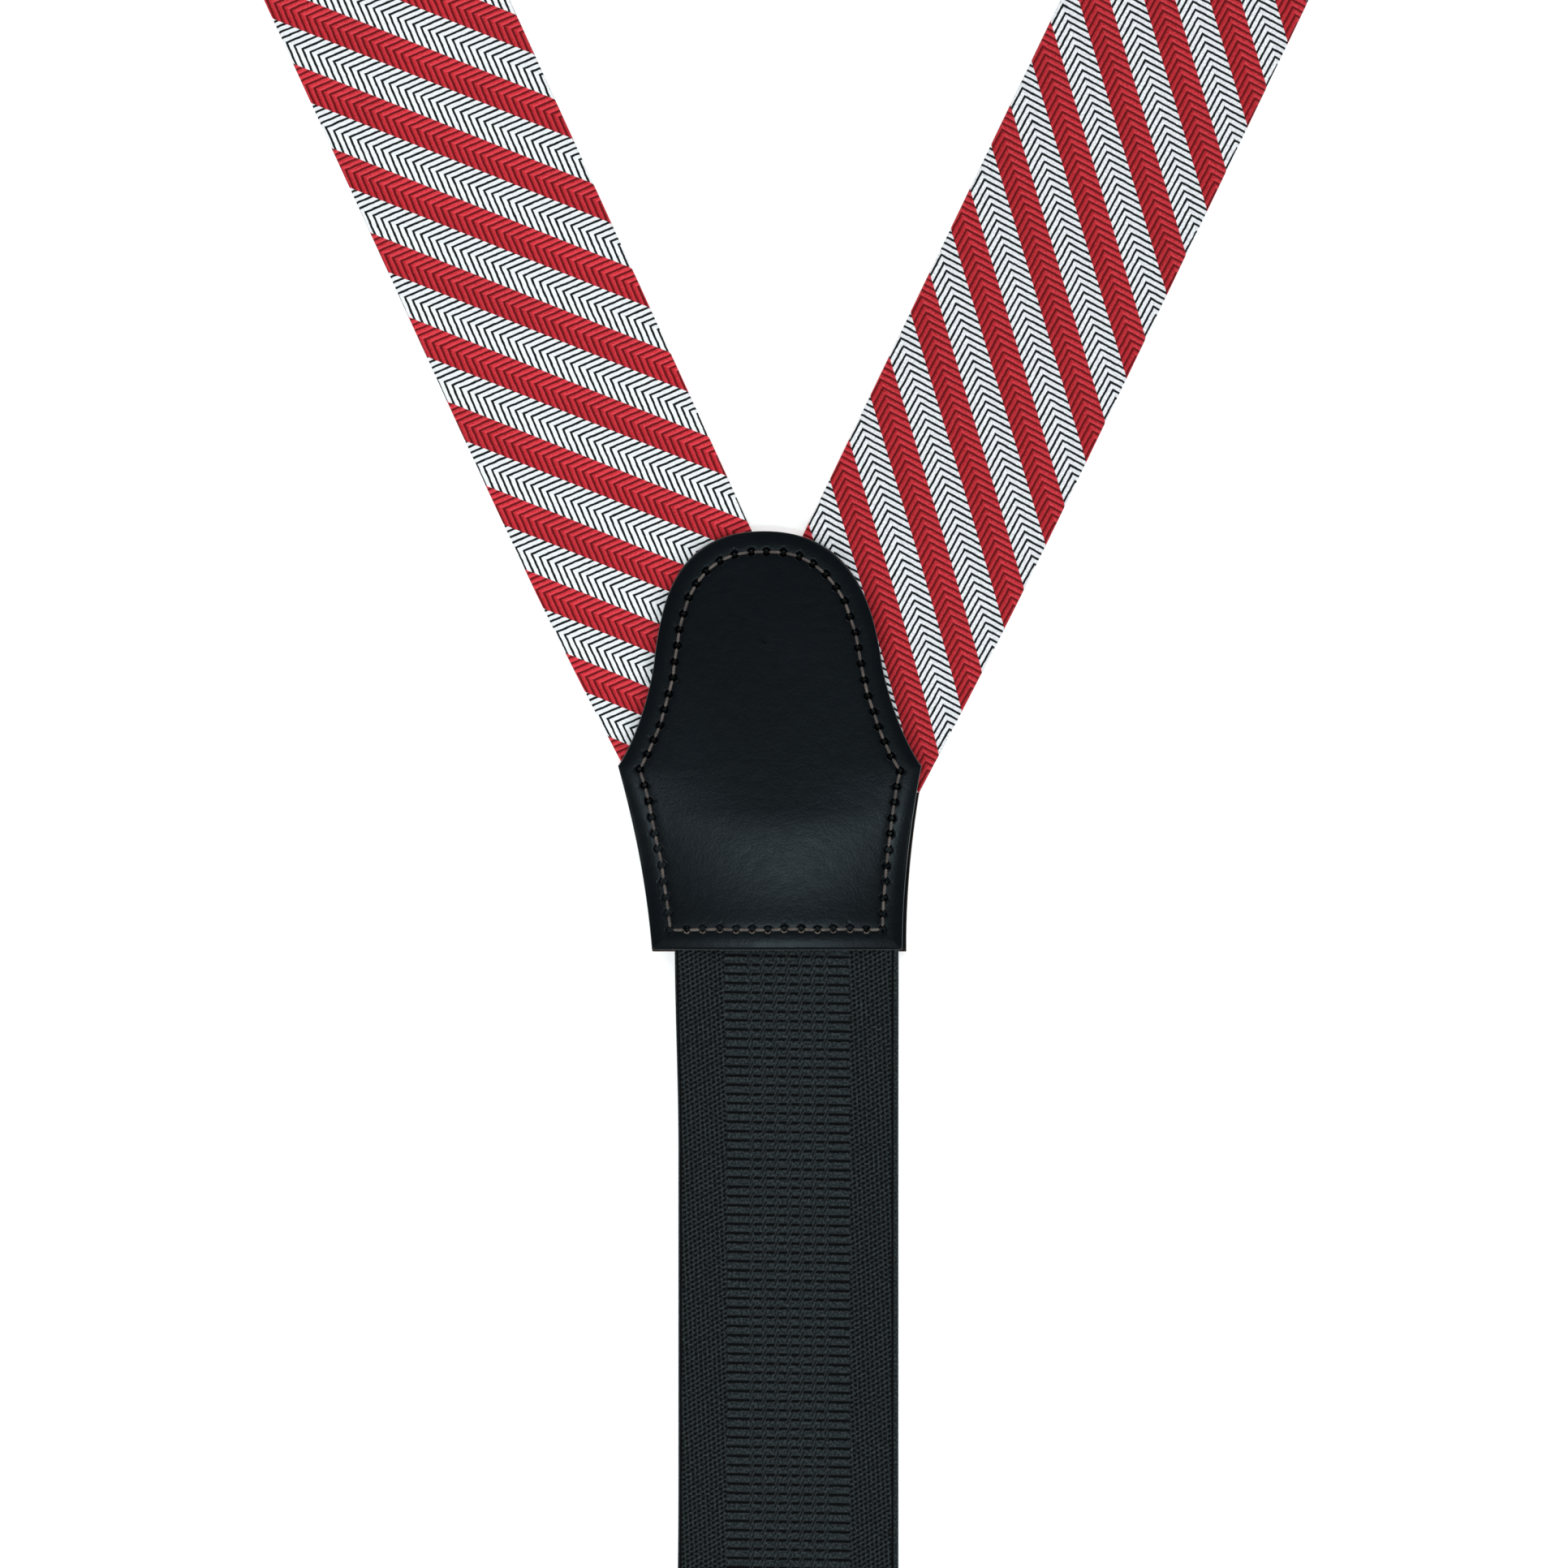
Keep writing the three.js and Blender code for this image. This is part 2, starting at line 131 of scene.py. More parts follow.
class Graph:
    """A material's nodes, added one operation at a time. Values are sockets or numbers."""

    def __init__(self, name):
        self.material = bpy.data.materials.new(name)
        self.material.use_nodes = True
        self.tree = self.material.node_tree
        self.shader = self.tree.nodes["Principled BSDF"]

    def node(self, kind, **settings):
        node = self.tree.nodes.new(kind)
        for key, value in settings.items():
            setattr(node, key, value)
        return node

    def feed(self, socket, value):
        if isinstance(value, bpy.types.NodeSocket):
            self.tree.links.new(value, socket)
        else:
            socket.default_value = value

    def math(self, operation, *values):
        node = self.node("ShaderNodeMath", operation=operation)
        for socket, value in zip(node.inputs, values):
            self.feed(socket, value)
        return node.outputs[0]

    def add(self, a, b):
        return self.math("ADD", a, b)

    def subtract(self, a, b):
        return self.math("SUBTRACT", a, b)

    def multiply(self, a, b):
        return self.math("MULTIPLY", a, b)

    def step(self, value, low, high):
        """0 below low, 1 above high, smooth between; low may be the greater one."""
        node = self.node("ShaderNodeMapRange", interpolation_type="SMOOTHSTEP")
        self.feed(node.inputs["Value"], value)
        self.feed(node.inputs["From Min"], low)
        self.feed(node.inputs["From Max"], high)
        return node.outputs["Result"]

    def mix(self, factor, a, b):
        node = self.node("ShaderNodeMix", data_type="RGBA")
        self.feed(node.inputs["Factor"], factor)
        self.feed(node.inputs["A"], a)
        self.feed(node.inputs["B"], b)
        return node.outputs["Result"]

    def strap_uv(self):
        """Millimetres across and along a strap."""
        uv = self.node("ShaderNodeUVMap", uv_map="strap")
        parts = self.node("ShaderNodeSeparateXYZ")
        self.tree.links.new(uv.outputs["UV"], parts.inputs[0])
        return parts.outputs["X"], parts.outputs["Y"]

    def noise(self, scale, detail=2.0, stretch=(1, 1, 1), uv=False):
        """Noise with the given number of features per metre, or per millimetre on a strap."""
        if uv:
            where = self.node("ShaderNodeUVMap", uv_map="strap").outputs["UV"]
        else:
            where = self.node("ShaderNodeTexCoord").outputs["Object"]
        mapping = self.node("ShaderNodeMapping")
        self.tree.links.new(where, mapping.inputs["Vector"])
        mapping.inputs["Scale"].default_value = stretch
        node = self.node("ShaderNodeTexNoise")
        self.tree.links.new(mapping.outputs["Vector"], node.inputs["Vector"])
        node.inputs["Scale"].default_value = scale
        node.inputs["Detail"].default_value = detail
        return node.outputs["Fac"]

    def bump(self, height, distance, strength=1.0):
        node = self.node("ShaderNodeBump")
        self.feed(node.inputs["Height"], height)
        node.inputs["Distance"].default_value = distance
        node.inputs["Strength"].default_value = strength
        self.tree.links.new(node.outputs["Normal"], self.shader.inputs["Normal"])

    def set(self, **inputs):
        for name, value in inputs.items():
            self.feed(self.shader.inputs[name.replace("_", " ")], value)


def rgb(red, green, blue):
    """A colour given in sRGB from 0 to 255, as linear numbers with alpha."""
    def linear(value):
        value /= 255
        return value / 12.92 if value <= 0.04045 else ((value + 0.055) / 1.055) ** 2.4
    return (linear(red), linear(green), linear(blue), 1)


# ---- materials ----------------------------------------------------------------------

CHEVRON_PITCH = 1.45  # mm along a stripe


def ribbon_material(name, stripe_angle, period, white_share, phase, painted_sheen):
    """Silk with slanting red and white stripes, each with a herringbone of its own.

    painted_sheen is how far the threads turn towards the light, from 0 to 1: a painted sheen that paints
    one ribbon's silk lighter than the other's.
    """
    g = Graph(name)
    u, v = g.strap_uv()
    cos, sin = math.cos(stripe_angle), math.sin(stripe_angle)
    across = g.add(g.multiply(u, cos), g.multiply(v, sin))
    along = g.subtract(g.multiply(v, cos), g.multiply(u, sin))
    in_period = g.multiply(g.math("FRACT", g.multiply(g.subtract(phase, across), 1 / period)), period)
    white_width = white_share * period
    red = g.step(in_period, white_width - 0.06, white_width + 0.06)
    past_white = g.math("GREATER_THAN", in_period, white_width)
    spine = g.add(g.multiply(past_white, period / 2), white_width / 2)
    from_spine = g.math("ABSOLUTE", g.subtract(in_period, spine))

    wobble = g.multiply(g.subtract(g.noise(0.9, 1.0, uv=True), 0.5), 0.3)
    row = g.math("FRACT", g.multiply(g.add(g.add(along, from_spine), wobble), 1 / CHEVRON_PITCH))
    from_line = g.math("ABSOLUTE", g.subtract(row, 0.5))
    thin_line = g.step(from_line, 0.23, 0.15)
    groove = g.step(from_line, 0.28, 0.09)
    left_arm = g.math("LESS_THAN", in_period, spine)

    threads = g.noise(3.2, 2.0, uv=True)
    # shade: broad patches where the red is painted darker, painted shade on the silk
    shade = g.noise(0.075, 1.5, (1, 0.7, 1), uv=True)
    # glint: threads painted as catching the light, a painted highlight on the white and the red
    glint = g.step(threads, 0.36, 0.72)
    # painted sheen: the white and the red are painted lighter on the ribbon whose threads turn to the
    # light
    white_thread = g.mix(painted_sheen, rgb(204, 206, 210), rgb(228, 231, 233))
    white_thread = g.mix(glint, white_thread, rgb(250, 250, 251))
    # painted shade by the threads' direction to the light: the white's left arm a little greyer
    white_thread = g.mix(g.multiply(left_arm, 0.2), white_thread, rgb(196, 200, 205))
    white = g.mix(thin_line, white_thread, rgb(6, 14, 15))
    # lit_side: each red rib painted lighter towards one side, painted light
    lit_side = g.step(row, 0.0, 1.0)
    red_thread = g.mix(painted_sheen, rgb(160, 16, 26), rgb(196, 28, 40))
    red_thread = g.mix(g.multiply(g.step(shade, 0.62, 0.36), 0.3), red_thread, rgb(140, 8, 16))
    red_thread = g.mix(g.multiply(lit_side, 0.3 + 0.3 * painted_sheen), red_thread, rgb(230, 66, 80))
    red_thread = g.mix(g.multiply(glint, 0.35), red_thread, rgb(236, 92, 104))
    # painted shade by the threads' direction to the light: the red's right arm darker
    red_thread = g.mix(g.multiply(g.subtract(1.0, left_arm), 0.4), red_thread, rgb(146, 8, 18))
    # the red's grooves between the ribs are painted dark: painted shade
    red_cloth = g.mix(g.multiply(groove, 0.95), red_thread, rgb(88, 0, 4))
    g.set(Base_Color=g.mix(red, white, red_cloth))

    rib = g.subtract(1.0, g.step(from_line, 0.32, 0.0))
    height = g.add(rib, g.multiply(threads, 0.25))
    g.bump(height, 0.12 * MM, 0.7)
    g.set(Roughness=g.add(0.5, g.multiply(threads, 0.2)), Sheen_Weight=0.04, Sheen_Roughness=0.4)
    g.set(Specular_IOR_Level=0.12)
    return g.material


def lining_material():
    """Plain-woven lining cloth, a little off white."""
    g = Graph("ribbon_lining")
    u, v = g.strap_uv()
    warp = g.math("SINE", g.multiply(u, 2 * math.pi / 0.42))
    weft = g.math("SINE", g.multiply(v, 2 * math.pi / 0.42))
    weave = g.add(g.multiply(g.multiply(warp, weft), 0.5), 0.5)
    soil = g.noise(60, 3.0)
    tone = g.mix(g.step(soil, 0.3, 0.75), rgb(232, 228, 219), rgb(214, 208, 197))
    g.set(Base_Color=g.mix(g.multiply(weave, 0.25), tone, rgb(176, 168, 156)))
    g.bump(weave, 0.08 * MM, 0.7)
    g.set(Roughness=0.82, Sheen_Weight=0.2)
    return g.material


def elastic_material():
    """Woven elastic: twill bands at the sides, ribbed columns in the middle, a beaded edge."""
    g = Graph("elastic_web")
    u, v = g.strap_uv()
    fuzz = g.noise(2.4, 3.0, uv=True)

    # the middle: gaps between ribs, painted dark as painted shade, broken by slanting stitches between
    # the columns
    rib_pitch, column_pitch, columns_half = 1.58, 2.16, 6.6
    slope = g.multiply(u, 0.02)
    uneven = g.multiply(g.subtract(fuzz, 0.5), 0.35)
    row = g.math("FRACT", g.multiply(g.add(g.add(v, slope), uneven), 1 / rib_pitch))
    gap_line = g.step(g.math("ABSOLUTE", g.subtract(row, 0.5)), 0.2, 0.09)
    slanted = g.subtract(u, g.multiply(g.subtract(row, 0.5), 0.75))
    in_column = g.math("FRACT", g.multiply(g.add(slanted, columns_half), 1 / column_pitch))
    from_stitch = g.subtract(0.5, g.math("ABSOLUTE", g.subtract(in_column, 0.5)))
    narrow = g.step(g.math("ABSOLUTE", g.add(u, 0.13)), columns_half + 0.4, columns_half + 0.1)
    stitch = g.multiply(g.step(from_stitch, 0.2, 0.12), narrow)
    dash = g.multiply(gap_line, g.subtract(1.0, stitch))
    slit = g.multiply(g.step(from_stitch, 0.1, 0.05), narrow)
    dash = g.math("MAXIMUM", dash, g.multiply(slit, 0.8))
    threads = g.math("SINE", g.multiply(u, 2 * math.pi / 0.36))

    # the side bands: staggered pits of a twill, painted dark as painted shade
    dot_x, dot_y = 0.78, 0.82
    lane = g.multiply(g.add(g.add(u, uneven), g.multiply(v, 0.05)), 1 / dot_x)
    stagger = g.multiply(g.math("FLOOR", lane), 0.5)
    cell_x = g.subtract(g.math("FRACT", lane), 0.5)
    cell_y = g.subtract(g.math("FRACT", g.add(g.multiply(v, 1 / dot_y), stagger)), 0.5)
    tilted_x = g.subtract(cell_x, g.multiply(cell_y, 0.5))
    spread = g.math("SQRT", g.add(g.math("POWER", tilted_x, 2.0), g.math("POWER", cell_y, 2.0)))
    pit = g.step(spread, 0.44, 0.22)

    side = g.step(g.math("ABSOLUTE", u), 10.5, 10.8)
    edge = g.subtract(g.math("ABSOLUTE", g.subtract(u, 0.3)), 18.3)
    edge_groove = g.step(g.math("ABSOLUTE", edge), 0.26, 0.1)
    bead = g.step(edge, -0.05, 0.15)
    hollow = g.mix(side, dash, pit)
    hollow = g.mix(bead, hollow, g.multiply(g.step(cell_y, 0.1, 0.4), 0.5))
    hollow = g.math("MAXIMUM", hollow, edge_groove)

    # lit: the raised threads' colour, painted lighter where the stitches stand up, painted light; the
    # hollows, the edge groove and part of the bead are painted near black as painted shade
    lit = g.mix(g.step(fuzz, 0.35, 0.7), rgb(18, 24, 27), rgb(50, 57, 59))
    lit = g.mix(g.multiply(stitch, 0.35), lit, rgb(56, 63, 64))
    g.set(Base_Color=g.mix(hollow, lit, rgb(0, 0, 1)))
    relief = g.add(g.subtract(1.0, hollow), g.multiply(threads, 0.12))
    relief = g.add(g.add(relief, g.multiply(stitch, 0.35)), g.multiply(fuzz, 0.3))
    g.bump(relief, 0.22 * MM, 0.9)
    g.set(Roughness=0.8, Specular_IOR_Level=0.08, Sheen_Weight=0.02)
    return g.material


def leather_material(name, edge):
    """Smooth black leather: fine pores, faint scuffs, an edge colour on its cut edge (a painted highlight
    on the black leather, the suede's own tan on the backing) and awl holes painted near black as painted
    shade.
    """
    g = Graph(name)
    pores = g.noise(2600, 3.0)
    creases = g.noise(520, 4.0)
    cloud = g.noise(38, 2.0)
    tone = g.mix(g.step(cloud, 0.35, 0.7), rgb(4, 8, 12), rgb(7, 12, 16))
    scuff = g.step(g.noise(900, 5.0, (0.25, 1.6, 1)), 0.66, 0.8)
    tone = g.mix(g.multiply(scuff, 0.2), tone, rgb(36, 42, 45))
    marks = g.node("ShaderNodeSeparateColor")
    painted = g.node("ShaderNodeVertexColor", layer_name="marks").outputs["Color"]
    g.feed(marks.inputs["Color"], painted)
    # red marks the cut edge: on the black leather its colour is a painted highlight, on the backing the
    # suede's own tan
    tone = g.mix(marks.outputs["Red"], tone, rgb(*edge))
    # green marks the stitch holes, painted near black: painted shade in the holes
    g.set(Base_Color=g.mix(marks.outputs["Green"], tone, rgb(2, 2, 2)))
    g.bump(g.add(g.multiply(pores, 0.6), creases), 0.08 * MM, 0.35)
    g.set(Roughness=g.add(0.24, g.multiply(creases, 0.1)), Specular_IOR_Level=0.085)
    return g.material


def thread_material():
    """Twisted waxed thread."""
    g = Graph("seam_thread")
    u, v = g.strap_uv()
    twist = g.math("SINE", g.multiply(g.add(v, g.multiply(u, 0.5)), 2 * math.pi / 0.42))
    worn = g.noise(500, 2.0)
    tone = g.mix(g.step(worn, 0.35, 0.7), rgb(66, 57, 52), rgb(104, 93, 86))
    shade = g.step(twist, 0.1, -0.9)
    g.set(Base_Color=g.mix(g.multiply(shade, 0.6), tone, rgb(44, 38, 35)))
    g.bump(twist, 0.06 * MM, 0.8)
    g.set(Roughness=0.62, Sheen_Weight=0.15)
    return g.material


def brass_material():
    """Polished brass with fine hairlines and slight tarnish."""
    g = Graph("polished_brass")
    hairline = g.noise(700, 3.0, (1, 14, 6))
    tarnish = g.noise(160, 4.0)
    tone = g.mix(g.step(tarnish, 0.45, 0.75), rgb(222, 178, 98), rgb(178, 134, 70))
    g.set(Base_Color=tone)
    g.bump(hairline, 0.01 * MM, 0.35)
    g.set(Metallic=1.0, Roughness=g.add(0.17, g.multiply(hairline, 0.16)))
    return g.material


def floor_material():
    g = Graph("pale_floor")
    speck = g.noise(9, 2.0)
    g.set(Base_Color=g.mix(speck, (0.7, 0.7, 0.7, 1), (0.72, 0.72, 0.72, 1)))
    g.set(Roughness=0.9, Specular_IOR_Level=0.1, Emission_Color=(1, 1, 1, 1), Emission_Strength=0.5)
    return g.material


# stripe angle, period in mm, how much of it is white, where a white stripe ends, and painted sheen (how
# much lighter the silk is painted)
STRIPES = {
    "left": (math.radians(43.7), 10.92, 0.533, 1.64, 1.0),
    "right": (math.radians(42.4), 10.68, 0.525, 5.76, 0.15),
}
RIBBON = {side: ribbon_material(f"{side}_silk", *STRIPES[side]) for side in SIDES}
LINING = lining_material()
ELASTIC = elastic_material()
# the black leather's edge colour is a painted highlight on its cut edge; the backing's is the suede's own
# tan
LEATHER = leather_material("black_leather", (78, 82, 82))
BACKING = leather_material("backing_leather", (96, 66, 44))
THREAD = thread_material()
BRASS = brass_material()


# ---- mesh helpers -------------------------------------------------------------------

def mesh_object(name, points, faces, uvs, material):
    """uvs holds one (u, v) in millimetres for each corner of each face."""
    mesh = bpy.data.meshes.new(name)
    mesh.from_pydata([tuple(p) for p in points], [], faces)
    layer = mesh.uv_layers.new(name="strap")
    corners = [uv for face in uvs for uv in face]
    layer.data.foreach_set("uv", [value for corner in corners for value in corner])
    mesh.materials.append(material)
    for polygon in mesh.polygons:
        polygon.use_smooth = True
    mesh.update()
    obj = bpy.data.objects.new(name, mesh)
    scene.collection.objects.link(obj)
    return obj


def loft(name, rings, across, along, material):
    """Closed rings of points joined into a tube with flat ends.

    across has one more value than a ring has points, because the last meets the first.
    """
    count = len(rings[0])
    points = [point for ring in rings for point in ring]
    faces, uvs = [], []
    for i in range(len(rings) - 1):
        for j in range(count):
            k = (j + 1) % count
            faces.append((i * count + j, i * count + k, (i + 1) * count + k, (i + 1) * count + j))
            uvs.append((
                (across[j], along[i]), (across[j + 1], along[i]),
                (across[j + 1], along[i + 1]), (across[j], along[i + 1]),
            ))
    last = (len(rings) - 1) * count
    faces.append(tuple(reversed(range(count))))
    uvs.append([(across[j], along[0]) for j in reversed(range(count))])
    faces.append(tuple(last + j for j in range(count)))
    uvs.append([(across[j], along[-1]) for j in range(count)])
    return mesh_object(name, points, faces, uvs, material)


def strap_section(width, thickness, crown=0.0):
    """(points, across): a flat band's cross-section with rounded edges, from below its middle.

    across is the distance round the section in millimetres, 0 on top in the middle.
    """
    radius = thickness / 2
    flat = width / 2 - radius
    half_spans, spans, turns = 4, 12, 6
    points = [(-flat * i / half_spans, 0.0) for i in range(half_spans + 1)]
    for i in range(1, turns):
        angle = -math.pi / 2 - math.pi * i / turns
        points.append((-flat + radius * math.cos(angle), radius + radius * math.sin(angle)))
    for i in range(spans + 1):
        x = -flat + 2 * flat * i / spans
        points.append((x, thickness + crown * (1 - (x / flat) ** 2)))
    for i in range(1, turns):
        angle = math.pi / 2 - math.pi * i / turns
        points.append((flat + radius * math.cos(angle), radius + radius * math.sin(angle)))
    points += [(flat - flat * i / half_spans, 0.0) for i in range(half_spans)]
    across = [0.0]
    for i, (x, z) in enumerate(points):
        next_x, next_z = points[(i + 1) % len(points)]
        across.append(across[-1] + math.hypot(next_x - x, next_z - z) / MM)
    half = across[-1] / 2
    return points, [distance - half for distance in across]


def strap(name, stations, width, thickness, material, crown=0.0, start_v=0.0):
    """A band along stations: (underside point, across, outward, thickness factor, distance)."""
    rings, along = [], []
    for point, side, out, factor, distance in stations:
        section, across = strap_section(width, thickness * factor, crown)
        rings.append([point + side * x + out * z for x, z in section])
        along.append(start_v + distance / MM)
    _, across = strap_section(width, thickness, crown)
    return loft(name, rings, across, along, material)


def tube(path, radius, sides=8):
    """A round thread along a list of points, with tapered ends, as (rings, across, along)."""
    rings, along = [], []
    travelled = 0.0
    for i, point in enumerate(path):
        ahead = path[min(i + 1, len(path) - 1)]
        behind = path[max(i - 1, 0)]
        tangent = (ahead - behind).normalized()
        side = tangent.cross(UP)
        side = side.normalized() if side.length > 1e-6 else Vector((1, 0, 0))
        out = side.cross(tangent)
        end = i in (0, len(path) - 1)
        size = radius * (0.35 if end else 1.0)
        rings.append([
            point + (side * math.cos(a) + out * math.sin(a)) * size
            for a in (2 * math.pi * j / sides for j in range(sides))
        ])
        travelled += (point - behind).length if i else 0.0
        along.append(travelled / MM)
    across = [2 * math.pi * radius / MM * j / sides for j in range(sides + 1)]
    return rings, across, along


def joined(name, pieces, material):
    """Several tubes, given as (rings, across, along), as one mesh."""
    points, faces, uvs = [], [], []
    for rings, across, along in pieces:
        base, count = len(points), len(rings[0])
        points += [point for ring in rings for point in ring]
        for i in range(len(rings) - 1):
            for j in range(count):
                k = (j + 1) % count
                a, b = base + i * count, base + (i + 1) * count
                faces.append((a + k, a + j, b + j, b + k))
                uvs.append((
                    (across[j + 1], along[i]), (across[j], along[i]),
                    (across[j], along[i + 1]), (across[j + 1], along[i + 1]),
                ))
        last = base + (len(rings) - 1) * count
        faces.append(tuple(base + j for j in range(count)))
        uvs.append([(across[j], along[0]) for j in range(count)])
        faces.append(tuple(last + j for j in reversed(range(count))))
        uvs.append([(across[j], along[-1]) for j in reversed(range(count))])
    return mesh_object(name, points, faces, uvs, material)


def stitch(start, end, lift, dive, radius, steps=7):
    """One stitch from hole to hole: up out of the first, over the surface, down into the next."""
    path = []
    for i in range(steps + 1):
        t = i / steps
        height = lift * math.sin(math.pi * t) ** 0.5 - dive * (2 * t - 1) ** 6
        path.append(start.lerp(end, t) + UP * height)
    return tube(path, radius)


def merge_doubles(obj):
    """Merges doubled points and turns all faces outwards."""
    work = bmesh.new()
    work.from_mesh(obj.data)
    bmesh.ops.remove_doubles(work, verts=work.verts, dist=2e-6)
    bmesh.ops.recalc_face_normals(work, faces=work.faces)
    work.to_mesh(obj.data)
    work.free()


def mark_leather(obj, holes=(), origin=Vector((0, 0, 0))):
    """Paints steep faces red, where the leather's cut edge shows, and stitch holes green: where the
    material paints its edge colour and the holes' painted shade.
    """
    mesh = obj.data
    layer = mesh.color_attributes.new(name="marks", type="FLOAT_COLOR", domain="CORNER")
    for polygon in mesh.polygons:
        place = polygon.center - origin
        to_hole = min((math.hypot(place.x - h.x * MM, place.y - h.y * MM) for h in holes), default=1)
        steep = abs(polygon.normal.z) < 0.6 and to_hole > 1 * MM
        for loop in polygon.loop_indices:
            layer.data[loop].color = (float(steep), float(to_hole < 0.6 * MM), 0, 1)


STITCH_PITCH = 2.8  # mm
ROW_STITCHES = 12


def stitched_rows(name, x, places, radius):
    """Rows of stitches across a strap whose middle is at x, one row at each (y, z)."""
    threads = []
    for y, z in places:
        for i in range(ROW_STITCHES):
            start = Vector((x + (i - ROW_STITCHES / 2) * STITCH_PITCH * MM, y, z))
            end = start + Vector((2.5 * MM, 0, 0))
            threads.append(stitch(start, end, 0.1 * MM, 0.3 * MM, radius))
    return joined(name, threads, THREAD)


# ---- ribbons ------------------------------------------------------------------------

def smooth(value, low, high):
    t = min(max((value - low) / (high - low), 0), 1)
    return t * t * (3 - 2 * t)


def ribbon_at(side, s):
    """(point on the surface, turn) of a ribbon's centre line at distance s from the fork."""
    sign, lean = SIGN[side], LEAN[side]
    bend = BEND_RADIUS * lean
    heading = Vector((sign * math.sin(lean), math.cos(lean), 0))
    bend_start = FORK + heading * STRAIGHT_RUN
    bend_end_y = bend_start.y + BEND_RADIUS * math.sin(lean)
    angle = lean - min(max(s - STRAIGHT_RUN, 0), bend) / BEND_RADIUS
    if s < STRAIGHT_RUN:
        point = FORK + heading * s
    elif s < STRAIGHT_RUN + bend:
        point = Vector((
            FRONT_X[side] - sign * BEND_RADIUS * (1 - math.cos(angle)),
            bend_end_y - BEND_RADIUS * math.sin(angle), 0,
        ))
    else:
        point = Vector((FRONT_X[side], bend_end_y + s - STRAIGHT_RUN - bend, 0))
    return point, -sign * angle


def s_at_y(side, y):
    """The distance along a ribbon's straight front stretch at which it reaches y."""
    lean = LEAN[side]
    bend = BEND_RADIUS * lean
    bend_end_y = FORK.y + math.cos(lean) * STRAIGHT_RUN + BEND_RADIUS * math.sin(lean)
    return STRAIGHT_RUN + bend + y - bend_end_y


RIBBON_THICK = 1.25 * MM
LINING_THICK = 0.25 * MM
LINING_WIDTH = 33 * MM
THIN = 0.72  # the share of its thickness that the ribbon keeps where it turns round a ring
MAIN_RUN_Z = 4.1 * MM  # height of the ribbon's underside where it runs over the adjuster
RISE_START, RISE_END = 12 * MM, 62 * MM  # past the fold, where it rises to that height
PATCH_END, PATCH_OFF = 56 * MM, 92 * MM  # from the fork, where it comes down off the patch
TRAVEL_END_Y = ADJUSTER_Y + 66 * MM  # 4 mm past the adjuster's frame at the end of its slide
RING_LEVEL_Y = FRONT_RING_Y - 4 * MM
TURN_RADIUS = 1.35 * MM  # from the axis of a front ring's bar to the ribbon's inner face


def ribbon_height(side, s):
    """Height of the ribbon's underside."""
    fold = s_at_y(side, FOLD_Y)
    on_patch = ON_LINING * (1 - smooth(s, PATCH_END, PATCH_OFF))
    over_hardware = MAIN_RUN_Z * smooth(s, fold + RISE_START, fold + RISE_END)
    to_ring = smooth(s, s_at_y(side, TRAVEL_END_Y), s_at_y(side, RING_LEVEL_Y))
    ring_top = FRONT_RING_Z + TURN_RADIUS
    return on_patch + over_hardware + (ring_top - MAIN_RUN_Z) * to_ring


# The fold bends the ribbon over this stretch, most of it ahead of the hinge, so that the
# ribbon's face stays above the floor when the front is folded up and over.
FOLD_START = FOLD_Y - 7 * MM
FOLD_END = FOLD_Y + 11 * MM
COARSE_STEP, FINE_STEP = 3 * MM, 1 * MM


def station_places(side, from_s, to_s):
    """Distances along the ribbon, closer together where the shoulder fold bends it."""
    fine_from = s_at_y(side, FOLD_START - COARSE_STEP)
    fine_to = s_at_y(side, FOLD_END + COARSE_STEP)
    places = [from_s]
    while places[-1] < to_s - COARSE_STEP / 2:
        near_fold = fine_from < places[-1] < fine_to
        places.append(places[-1] + (FINE_STEP if near_fold else COARSE_STEP))
    places[-1] = to_s
    return places


def ribbon_stations(side, from_s, to_s, raise_by=0.0):
    thin_from = s_at_y(side, TRAVEL_END_Y)
    thin_to = s_at_y(side, RING_LEVEL_Y)
    stations = []
    for s in station_places(side, from_s, to_s):
        point, turn = ribbon_at(side, s)
        across = Vector((math.cos(turn), math.sin(turn), 0))
        factor = 1 - (1 - THIN) * smooth(s, thin_from, thin_to)
        point = point + UP * (ribbon_height(side, s) + raise_by * factor)
        stations.append((point, across, UP, factor, s))
    return stations


RIBBON_CUT_Y = FOOT.y + 26.2 * MM  # under the patch, where both ribbons are cut straight across
PULL = {"left": 1.9 * MM, "right": 1.3 * MM}  # how far the patch pulls each outer edge in
PULL_REACH = 95 * MM  # from the fork, where the pull has faded out


def mitre(obj, side):
    """Cuts the ribbon's covered end to shape under the patch, which pulls its outer edge in a little."""
    lean, sign = LEAN[side], SIGN[side]
    heading = Vector((sign * math.sin(lean), math.cos(lean), 0))
    across = Vector((math.cos(lean), -sign * math.sin(lean), 0))
    region = 56 * MM  # from the fork, what is squeezed to make room for the cut
    moved = {}
    for vertex in obj.data.vertices:
        place = vertex.co - FORK
        s, u = place.dot(heading), place.dot(across)
        outward = max(0, sign * u) / (STRAP_WIDTH / 2)
        vertex.co -= across * (sign * outward * PULL[side] * max(0, 1 - s / PULL_REACH) ** 2)
        if s >= region:
            continue
        to_middle = -sign * u * math.cos(lean) / math.sin(lean) + 0.3 * MM
        to_cut = (RIBBON_CUT_Y - FORK.y + sign * u * math.sin(lean)) / math.cos(lean)
        start = min(max(to_middle, to_cut), region - 1 * MM)
        moved[vertex.index] = start * (1 - s / region)
        vertex.co += heading * moved[vertex.index]
    uv = obj.data.uv_layers["strap"].data
    for loop in obj.data.loops:
        uv[loop.index].uv.y += moved.get(loop.vertex_index, 0) / MM


